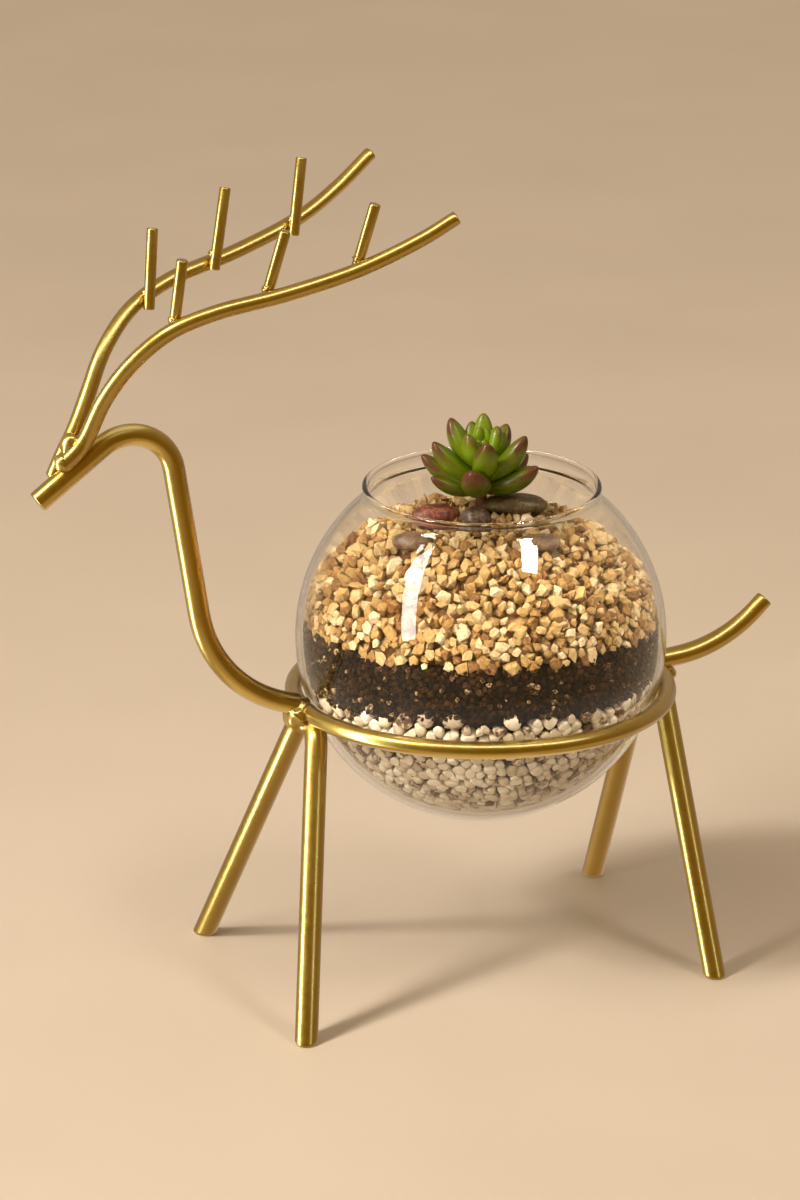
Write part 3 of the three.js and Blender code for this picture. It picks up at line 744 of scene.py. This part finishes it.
gravel_straw = grain_finish(
    "gravel_straw",
    [(0.0, (0.15, 0.063, 0.015)), (0.16, (0.26, 0.136, 0.036)), (0.5, (0.375, 0.232, 0.080)),
     (0.8, (0.45, 0.310, 0.140)), (1.0, (0.59, 0.465, 0.28))],
    roughness=(0.6, 0.85), depth=0.0003, speck_scale=1300, variation=0.20,
)
draw = random.Random(23)
side = [
    (0, SOIL_TOP),
    (ball_radius(SOIL_TOP, FILL_RADIUS - GRAVEL_BED_INSET), SOIL_TOP),
    (ball_radius(MOUND_EDGE, FILL_RADIUS - GRAVEL_BED_INSET), GRAVEL_BED_EDGE),
]
top = [(radius, mound(radius) - GRAVEL_BED_DEPTH) for radius in GRAVEL_BED_RADII]
gravel = bed_of(side + top, steps=72)
gravel_spots = on_wall(
    draw, count=300, low=SOIL_TOP + 0.9, high=MOUND_EDGE, sizes=(0.8, 2.2), jitter=1.1,
)
gravel_spots += on_wall(
    draw, count=150, low=SOIL_TOP + 1.2, high=MOUND_EDGE - 0.5, sizes=(1.3, 2.2), jitter=0.9, deep=2.2,
)
gravel_spots += on_mound(draw, count=1050, sizes=(0.8, 2.1), jitter=1.1)
gravel_spots += on_mound(draw, count=520, sizes=(1.2, 2.1), jitter=0.8, deep=2.4)
packed(gravel, gravel_spots, draw, fineness=1, sharpness=12, chips=3, gap=-0.10, stretch=0.36, rough=0.10)
piece("gravel_chips", gravel, gravel_straw, "gravel", "gravel_layer", sharp=18)

# ---------------------------------------------------------------- pebbles
# Five flat river pebbles and a small white one lie on the gravel round the plant.
# Each stone has a dark, a middle and a pale tone, and is uneven by a share of its size.
STONE_SEED = 0.37
STONES = {
    "red": [((0.052, 0.010, 0.005), (0.135, 0.026, 0.013), (0.33, 0.115, 0.062)), 0.10],
    "grey": [((0.019, 0.010, 0.005), (0.052, 0.029, 0.016), (0.15, 0.098, 0.062)), 0.08],
    "olive": [((0.032, 0.019, 0.004), (0.080, 0.050, 0.013), (0.15, 0.108, 0.04)), 0.05],
    "brown": [((0.055, 0.026, 0.011), (0.115, 0.060, 0.028), (0.19, 0.115, 0.06)), 0.07],
    "white": [((0.50, 0.36, 0.24), (0.66, 0.51, 0.36), (0.78, 0.66, 0.50)), 0.14],
}


def stone_finish(name, dark, middle, pale):
    """Water-worn stone: cloudy, with thin paler veins and a dull polish."""
    material, tree, shader = finish(name + "_stone", Coat_Weight=0.2, Coat_Roughness=0.3)
    cloud = mottle(tree, scale=210, detail=6, rough=0.66)
    stops = ((0.30, dark), (0.46, middle), (0.50, pale), (0.53, middle), (0.70, dark))
    tree.links.new(ramp(tree, cloud, *stops), shader.inputs["Base Color"])
    pits = mottle(tree, scale=1300, detail=3)
    tree.links.new(spread(tree, pits, 0.34, 0.58), shader.inputs["Roughness"])
    relief(tree, shader, pits, depth=0.00006)
    return material


stone_materials = {colour: stone_finish(colour, *tones) for colour, (tones, _) in STONES.items()}
for i, (name, (at, half, turn)) in enumerate(PEBBLES.items()):
    colour = name.split("_")[0]
    pebble = bmesh.new()
    verts = lump(pebble, Vector((0, 0, 0)), half, wobble=STONES[colour][1], seed=i + STONE_SEED, fineness=5)
    laid = Matrix.Translation(at) @ Matrix.Rotation(math.radians(turn), 4, "Z")
    bmesh.ops.transform(pebble, matrix=laid, verts=verts)
    piece(f"{name}_pebble", pebble, stone_materials[colour], f"{colour}_stone", f"pebble_{name}")

# ---------------------------------------------------------------- succulent
# A small rosette with very plump leaves on a short stem. The leaves are bright green,
# with a waxy bloom, and red-brown at their tips and along their edges.
ROSETTE_FOOT = 130.5
STEM_FOOT = 119.0
STEM_STEPS = 10
STEM_STEP = 2.6
STEM_SWAY = (0.25, 0.2)
STEM_RADIUS = 1.5
STEM_KNOTS = 0.12
STEM_KNOT_TURN = 2.1
STEM_SIDES = 16
LEAF_HALF_WIDTH = 3.3
LEAF_HALF_THICKNESS = 2.85
LEAF_TOP = 0.86
LEAF_BELLY = 1.06
LEAF_DISH = 0.35
LEAF_DISH_RUN = 1.3
LEAF_WIDEST = 0.52
LEAF_ROOT_WIDTH = 0.58
LEAF_BLUNTNESS = 0.53
LEAF_SAG = 0.28
# Lowest first: turn round the stem, rise above level, length, foot height, plumpness.
LEAVES = [
    (-105, 31, 13.6, 3.0, 1.2), (-13, 23, 16.7, 3.0, 1.05), (196, 17, 14.8, 2.5, 0.78),
    (68, 26, 15.0, 2.6, 0.95), (112, 24, 15.5, 2.4, 0.95), (178, 27, 18.1, 3.6, 0.97),
    (25, 27, 15.4, 3.6, 0.98), (148, 32, 15.5, 4.2, 0.95), (-12, 46, 17.2, 5.4, 1.07),
    (186, 40, 17.2, 4.8, 1.03), (78, 44, 14.5, 6.2, 0.95), (-82, 50, 14.6, 6.2, 1.02),
    (40, 50, 14.0, 8.2, 0.97), (155, 53, 15.6, 8.6, 1.02), (115, 60, 13.0, 8.4, 0.85),
    (-140, 63, 11.2, 8.6, 0.9), (20, 63, 10.2, 10.4, 0.86), (84, 67, 12.2, 11.0, 0.82),
    (-125, 68, 4.8, 12.2, 0.45), (-65, 72, 4.4, 12.4, 0.42), (60, 76, 6.4, 13.0, 0.6),
    (150, 84, 6.8, 13.0, 0.6),
]


def leaf_width(s):
    """Half width of a leaf at a share of its length: from a broad root to a blunt tip."""
    if s < LEAF_WIDEST:
        return LEAF_ROOT_WIDTH + (1 - LEAF_ROOT_WIDTH) * math.sin(math.pi / 2 * s / LEAF_WIDEST)
    return max(math.cos(math.pi / 2 * (s - LEAF_WIDEST) / (1 - LEAF_WIDEST)), 0) ** LEAF_BLUNTNESS


def add_leaf(plant, layers, age, turn, rise, length, foot, plump):
    """One leaf from a ball: drawn out along +X, flattened on top, dipped, raised and turned."""
    ball = bmesh.ops.create_uvsphere(plant, u_segments=28, v_segments=24, radius=1)["verts"]
    for vert in ball:
        s = min(max((1 - vert.co.z) / 2, 0), 1)
        ring = math.hypot(vert.co.x, vert.co.y)
        across, up = (vert.co.x / ring, vert.co.y / ring) if ring > 1e-5 else (0, 0)
        width = leaf_width(s) if 1e-5 < s < 1 - 1e-5 else 0
        thick = LEAF_HALF_THICKNESS * plump * width * (LEAF_TOP if up > 0 else LEAF_BELLY)
        hollow = math.sin(math.pi * min(s * LEAF_DISH_RUN, 1))
        dish = LEAF_DISH * plump * width * (1 - across * across) * max(up, 0) * hollow
        vert.co.x = s * length
        vert.co.y = across * LEAF_HALF_WIDTH * plump * width
        vert.co.z = up * thick - dish + LEAF_SAG * length * (s * s - s)
        vert[layers["along"]] = s
        vert[layers["edge"]] = abs(across)
        vert[layers["age"]] = age
    raised = Matrix.Rotation(-math.radians(rise), 4, "Y")
    faced = Matrix.Rotation(math.radians(turn) - FRONT_TURN, 4, "Z")
    placed = Matrix.Translation((0, 0, ROSETTE_FOOT + foot)) @ (faced @ raised)
    bmesh.ops.transform(plant, matrix=placed, verts=ball)


def blended(tree, share, first, second):
    """A colour that turns from the first into the second as a pattern goes from 0 to 1."""
    mix = tree.nodes.new("ShaderNodeMix")
    mix.data_type = "RGBA"
    colours = [socket for socket in mix.inputs if socket.type == "RGBA"]
    for source, socket in zip((share, first, second), (mix.inputs["Factor"], *colours)):
        tree.links.new(source, socket)
    return next(socket for socket in mix.outputs if socket.type == "RGBA")


def leaf_finish():
    """Waxy leaf skin, coloured by the leaf's age, its length and how near its edge is."""
    material, tree, shader = finish(
        "leaf_skin", Subsurface_Weight=0.10, Subsurface_Radius=(0.5, 1.0, 0.2), Subsurface_Scale=0.0012,
        Specular_IOR_Level=0.4,
    )
    cloud = mottle(tree, scale=220, detail=4)
    uneven = spread(tree, cloud, -0.10, 0.10)
    along = combined(tree, "ADD", known(tree, "along"), uneven)
    green = ramp(
        tree, combined(tree, "ADD", known(tree, "age"), uneven),
        (0.0, (0.082, 0.108, 0.002)), (0.45, (0.150, 0.230, 0.004)), (1.0, (0.225, 0.380, 0.008)),
    )
    tip = spread(tree, along, 0.0, 1.0, start=0.66, end=0.99)
    rim = spread(tree, known(tree, "edge"), 0.0, 0.7, start=0.86, end=1.0)
    edge = combined(tree, "MULTIPLY", rim, spread(tree, along, 0.0, 1.0, start=0.25, end=0.8))
    grown = spread(tree, known(tree, "age"), 1.0, 0.5, start=0.55, end=0.85)
    reddened = combined(tree, "MINIMUM", combined(tree, "ADD", tip, edge), 1.0)
    blush = combined(tree, "MULTIPLY", reddened, grown)
    brown = ramp(tree, blush, (0.25, (0.140, 0.095, 0.006)), (0.85, (0.120, 0.041, 0.018)))
    tree.links.new(blended(tree, blush, green, brown), shader.inputs["Base Color"])
    wax = mottle(tree, scale=700, detail=3)
    tree.links.new(spread(tree, wax, 0.24, 0.40), shader.inputs["Roughness"])
    relief(tree, shader, wax, depth=0.00004)
    return material


stem_route = [
    Vector((STEM_SWAY[0] * math.sin(k), STEM_SWAY[1] * math.cos(k), STEM_FOOT + STEM_STEP * k))
    for k in range(STEM_STEPS)
]
stem_radii = [STEM_RADIUS * (1 + STEM_KNOTS * math.sin(STEM_KNOT_TURN * k)) for k in range(STEM_STEPS)]
plant, _ = swept(stem_route, stem_radii, STEM_SIDES)
layers = {name: plant.verts.layers.float.new(name) for name in ("along", "edge", "age")}
for vert in plant.verts:
    vert[layers["along"]] = 1
for k, (turn, rise, length, foot, plump) in enumerate(LEAVES):
    add_leaf(plant, layers, k / len(LEAVES), turn, rise, length, foot, plump)
piece("succulent_rosette", plant, leaf_finish(), "leaf", "succulent")

# ---------------------------------------------------------------- floor and backdrop
# A plain pale floor of warm plaster, and a backdrop of the same plaster all round, beyond the
# camera's view, that only shows behind the object from other sides.
STUDIO_RADIUS = 3.0
STUDIO_HEIGHT = 3.0
STUDIO_SIDES = 96
plaster, tree, shader = finish("plaster")
cloud = mottle(tree, scale=9, detail=5, rough=0.55)
pale = ramp(tree, cloud, (0.3, (0.665, 0.560, 0.455)), (0.7, (0.690, 0.585, 0.480)))
tree.links.new(pale, shader.inputs["Base Color"])
tree.links.new(spread(tree, cloud, 0.42, 0.6), shader.inputs["Roughness"])


def staged(name, shape):
    """A part of the studio, which the gold and the glass don't mirror."""
    thing = shown(name, shape, plaster)
    thing.visible_glossy = False
    return thing


floor = bmesh.new()
bmesh.ops.create_circle(floor, cap_ends=True, segments=STUDIO_SIDES, radius=STUDIO_RADIUS)
staged("floor", floor)
screen = bmesh.new()
bmesh.ops.create_cone(
    screen, segments=STUDIO_SIDES, radius1=STUDIO_RADIUS, radius2=STUDIO_RADIUS, depth=STUDIO_HEIGHT,
    matrix=Matrix.Translation((0, 0, STUDIO_HEIGHT / 2)),
)
backdrop = staged("backdrop", screen)
backdrop.visible_diffuse = False
backdrop.visible_shadow = False

# ---------------------------------------------------------------- lights
# Soft studio light: a tall softbox leans over from the left, a small one hangs high on the
# right, and a soft sun throws the shadows. The gold has lamps of its own, which give the bars
# their streaks, and so has the bowl, for its crisp reflections.
AIM = Vector((AXIS.x, 0, 0.092))
WARM = (1.0, 0.93, 0.82)
COOL = (0.60, 0.74, 1.0)
LEFT = {"ends": ((-0.909, -0.378, 0.178), (-0.489, 0.045, 0.871)), "distance": 1.1, "width": 0.165}
RIGHT = {"ends": ((0.246, -0.590, 0.769), (0.321, -0.315, 0.891)), "distance": 1.1, "width": 0.17}
OVERHEAD = {"ends": ((-0.239, -0.597, 0.766), (0.239, 0.597, 0.766)), "distance": 1.1, "width": 0.8}
UNDERNEATH = {"ends": ((-0.239, -0.597, -0.766), (0.239, 0.597, -0.766)), "distance": 1.1, "width": 0.8}
BEHIND_LIP = {"ends": ((-0.352, 0.733, 0.75), (0.762, 0.287, 0.75)), "distance": 1.1, "width": 0.10}
LEFT_EDGE = {"ends": ((-0.80, 0.055, -0.60), (-0.868, 0.059, 0.494)), "distance": 0.46, "width": 0.09}
RIGHT_EDGE = {"ends": ((0.425, -0.905, 0.02), (0.41, -0.87, 0.62)), "distance": 1.2, "width": 0.06}
TOP_EDGE = {"ends": ((-0.818, -0.028, 0.63), (0.574, -0.586, 0.63)), "distance": 1.0, "width": 0.10}
meshes = [thing for thing in bpy.context.scene.objects if thing.type == "MESH"]
gold_pieces = [thing for thing in meshes if thing.data.materials[:1] in ([gold], [weld_gold])]
leg_pieces = [thing for thing in gold_pieces if "legs" in thing.name]
upper_pieces = [thing for thing in gold_pieces if thing.name != "neck_bar"]
crook_pieces = [thing for thing in gold_pieces if thing.name in ("neck_bar", "ring_bar", "tail_bar")]
other_pieces = [thing for thing in meshes if thing not in gold_pieces and thing != glass_bowl]


def softbox(name, power, colour, lit, ends, distance, width):
    """A strip of light between two directions from the bowl, facing it, that lights these pieces only."""
    lamp = bpy.data.lights.new(name, "AREA")
    lamp.shape = "RECTANGLE"
    first, last = (Vector(end).normalized() * distance for end in ends)
    lamp.size = width
    lamp.size_y = (last - first).length
    lamp.energy = power
    lamp.color = colour
    holder = bpy.data.objects.new(name, lamp)
    behind = (first + last).normalized()
    upright = (last - first).normalized()
    sideways = upright.cross(behind)
    turned = Matrix((sideways, upright, behind)).transposed()
    holder.matrix_world = Matrix.Translation(AIM + (first + last) / 2) @ turned.to_4x4()
    holder.visible_camera = False
    bpy.context.scene.collection.objects.link(holder)
    holder.light_linking.receiver_collection = bpy.data.collections.new(name)
    for thing in lit:
        holder.light_linking.receiver_collection.objects.link(thing)
    return holder


softbox("left_softbox", 7.0, WARM, other_pieces, **LEFT)
softbox("right_softbox", 2.2, WARM, other_pieces, **RIGHT)
# The bowl's own lamps show in its gloss alone, not through it: two tall patches and the lip.
bowl_lamps = [
    softbox("left_gleam", 19.0, WARM, [glass_bowl], **LEFT),
    softbox("right_gleam", 17.0, WARM, [glass_bowl], **RIGHT),
    softbox("lip_strip", 7.0, WARM, [glass_bowl], **BEHIND_LIP),
]
for bowl_lamp in bowl_lamps:
    bowl_lamp.visible_diffuse = False
    bowl_lamp.visible_transmission = False
# Of the gold's lamps, two reach below the floor, which would shade them: only the pieces that
# they light may do that.
left_strip = softbox("left_strip", 2.6, COOL, gold_pieces, **LEFT_EDGE)
softbox("crook_softbox", 4.4, COOL, [neck_bar], **OVERHEAD)
table_glow = softbox("table_glow", 2.0, WARM, crook_pieces, **UNDERNEATH)
for low_lamp in (left_strip, table_glow):
    low_lamp.light_linking.blocker_collection = low_lamp.light_linking.receiver_collection
softbox("right_strip", 1.3, COOL, leg_pieces, **RIGHT_EDGE)
softbox("top_strip", 5.0, COOL, upper_pieces, **TOP_EDGE)

SUN_FROM = Vector((-0.72, -0.06, 0.69))
sun = bpy.data.lights.new("soft_sun", "SUN")
sun.energy = 1.5
sun.angle = math.radians(9)
sun.color = (1.0, 0.92, 0.80)
sun_holder = bpy.data.objects.new("soft_sun", sun)
sun_holder.rotation_euler = SUN_FROM.to_track_quat("Z", "Y").to_euler()
bpy.context.scene.collection.objects.link(sun_holder)

# ---------------------------------------------------------------- surroundings
# What the bars and the bowl mirror all round: dark and brown behind the camera, pale behind
# the bowl and overhead, and from below the colour of the pale floor near by.
FAR_SIDE = (0.32, 0.80, 0.51)
surroundings = bpy.data.worlds.new("surroundings")
surroundings.use_nodes = True
bpy.context.scene.world = surroundings
tree = surroundings.node_tree
place = tree.nodes.new("ShaderNodeTexCoord")


def towards(direction):
    """How far each direction points along this one, from -1 to 1."""
    product = tree.nodes.new("ShaderNodeVectorMath")
    product.operation = "DOT_PRODUCT"
    product.inputs[1].default_value = direction
    tree.links.new(place.outputs["Generated"], product.inputs[0])
    return product.outputs["Value"]


around = ramp(
    tree, spread(tree, towards(FAR_SIDE), 0, 1, start=-1, end=1),
    (0.22, (0.25, 0.148, 0.010)), (0.88, (0.42, 0.336, 0.252)),
)
down = spread(tree, towards((0, 0, -1)), 0, 1, start=0, end=1)
ground = ramp(tree, down, (0.45, (0.76, 0.60, 0.44)), (0.75, (0.55, 0.41, 0.28)), (1.0, (0.42, 0.30, 0.19)))
skyline = ramp(tree, down, (0.38, (0, 0, 0)), (0.52, (1, 1, 1)))
tree.links.new(blended(tree, skyline, around, ground), tree.nodes["Background"].inputs["Color"])
bpy.context.scene.view_settings.view_transform = "Standard"
